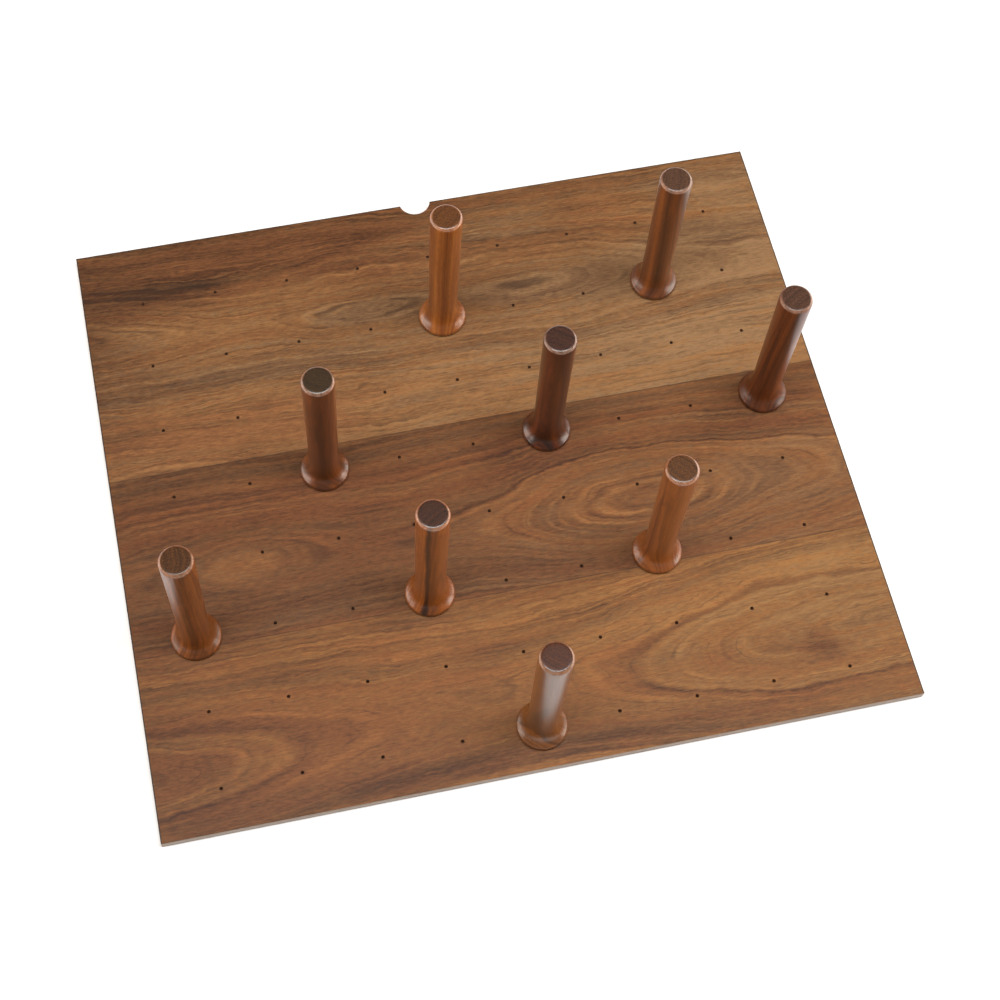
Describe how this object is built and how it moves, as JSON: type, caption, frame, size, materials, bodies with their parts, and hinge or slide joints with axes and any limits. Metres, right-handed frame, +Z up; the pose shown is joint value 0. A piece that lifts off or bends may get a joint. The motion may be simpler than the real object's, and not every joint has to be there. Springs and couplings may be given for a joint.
{
  "type": "drawer peg board",
  "caption": "Veneered drawer board drilled with a grid of small holes; turned wooden pegs stand in the holes on steel pins, turn, lift out, and keep stacked plates in place.",
  "frame": {"origin": "centre of the board's underside, on the drawer floor", "axes": "+X along the board's width and the veneer's grain, +Y towards the back edge with the finger notch, +Z up along the pegs"},
  "size_m": [0.616, 0.54, 0.1646],
  "materials": {
    "walnut_face_front": "satin clear lacquer over warm brown walnut veneer",
    "walnut_face_middle": "satin clear lacquer over dark red-brown walnut veneer",
    "walnut_face_back": "satin clear lacquer over walnut veneer, darker at the back edge",
    "ply_crossband": "bare pale ply, end grain at the front and back edges",
    "ply_core": "bare pale ply",
    "walnut_back": "sanded walnut veneer with a thin sealer",
    "peg_walnut_light": "turned walnut, orange-brown, gloss lacquer",
    "peg_walnut_orange": "turned walnut, orange with a dark streak, gloss lacquer",
    "peg_walnut_brown": "turned walnut, mid brown, gloss lacquer",
    "peg_walnut_red": "turned walnut, red-brown, gloss lacquer",
    "peg_walnut_dark": "turned walnut, very dark brown, gloss lacquer",
    "pin_steel": "bright drawn steel"
  },
  "bodies": {
    "board": {"back_veneer": "walnut_back", "lower_crossband": "ply_crossband", "core_ply": "ply_core", "upper_crossband": "ply_crossband", "face_leaf_front": "walnut_face_front", "face_leaf_middle": "walnut_face_middle", "face_leaf_back": "walnut_face_back"},
    "pin_1": {"pin_1": "pin_steel"},
    "peg_1": {"peg_1": "peg_walnut_light"},
    "pin_2": {"pin_2": "pin_steel"},
    "peg_2": {"peg_2": "peg_walnut_red"},
    "pin_3": {"pin_3": "pin_steel"},
    "peg_3": {"peg_3": "peg_walnut_red"},
    "pin_4": {"pin_4": "pin_steel"},
    "peg_4": {"peg_4": "peg_walnut_dark"},
    "pin_5": {"pin_5": "pin_steel"},
    "peg_5": {"peg_5": "peg_walnut_red"},
    "pin_6": {"pin_6": "pin_steel"},
    "peg_6": {"peg_6": "peg_walnut_brown"},
    "pin_7": {"pin_7": "pin_steel"},
    "peg_7": {"peg_7": "peg_walnut_orange"},
    "pin_8": {"pin_8": "pin_steel"},
    "peg_8": {"peg_8": "peg_walnut_light"},
    "pin_9": {"pin_9": "pin_steel"},
    "peg_9": {"peg_9": "peg_walnut_brown"}
  },
  "joints": [
    {"name": "peg_1_lift", "type": "slide", "parent": "board", "child": "pin_1", "axis": [0, 0, 1], "range_m": [0, 0.05]},
    {"name": "peg_1_turn", "type": "hinge", "parent": "pin_1", "child": "peg_1", "pos_m": [0, 0.148, 0.009], "axis": [0, 0, 1], "continuous": true},
    {"name": "peg_2_lift", "type": "slide", "parent": "board", "child": "pin_2", "axis": [0, 0, 1], "range_m": [0, 0.05]},
    {"name": "peg_2_turn", "type": "hinge", "parent": "pin_2", "child": "peg_2", "pos_m": [0.192, 0.148, 0.009], "axis": [0, 0, 1], "continuous": true},
    {"name": "peg_3_lift", "type": "slide", "parent": "board", "child": "pin_3", "axis": [0, 0, 1], "range_m": [0, 0.05]},
    {"name": "peg_3_turn", "type": "hinge", "parent": "pin_3", "child": "peg_3", "pos_m": [-0.128, 0.02, 0.009], "axis": [0, 0, 1], "continuous": true},
    {"name": "peg_4_lift", "type": "slide", "parent": "board", "child": "pin_4", "axis": [0, 0, 1], "range_m": [0, 0.05]},
    {"name": "peg_4_turn", "type": "hinge", "parent": "pin_4", "child": "peg_4", "pos_m": [0.064, 0.02, 0.009], "axis": [0, 0, 1], "continuous": true},
    {"name": "peg_5_lift", "type": "slide", "parent": "board", "child": "pin_5", "axis": [0, 0, 1], "range_m": [0, 0.05]},
    {"name": "peg_5_turn", "type": "hinge", "parent": "pin_5", "child": "peg_5", "pos_m": [0.256, 0.02, 0.009], "axis": [0, 0, 1], "continuous": true},
    {"name": "peg_6_lift", "type": "slide", "parent": "board", "child": "pin_6", "axis": [0, 0, 1], "range_m": [0, 0.05]},
    {"name": "peg_6_turn", "type": "hinge", "parent": "pin_6", "child": "peg_6", "pos_m": [-0.256, -0.108, 0.009], "axis": [0, 0, 1], "continuous": true},
    {"name": "peg_7_lift", "type": "slide", "parent": "board", "child": "pin_7", "axis": [0, 0, 1], "range_m": [0, 0.05]},
    {"name": "peg_7_turn", "type": "hinge", "parent": "pin_7", "child": "peg_7", "pos_m": [-0.064, -0.108, 0.009], "axis": [0, 0, 1], "continuous": true},
    {"name": "peg_8_lift", "type": "slide", "parent": "board", "child": "pin_8", "axis": [0, 0, 1], "range_m": [0, 0.05]},
    {"name": "peg_8_turn", "type": "hinge", "parent": "pin_8", "child": "peg_8", "pos_m": [0.128, -0.108, 0.009], "axis": [0, 0, 1], "continuous": true},
    {"name": "peg_9_lift", "type": "slide", "parent": "board", "child": "pin_9", "axis": [0, 0, 1], "range_m": [0, 0.05]},
    {"name": "peg_9_turn", "type": "hinge", "parent": "pin_9", "child": "peg_9", "pos_m": [0, -0.236, 0.009], "axis": [0, 0, 1], "continuous": true}
  ]
}
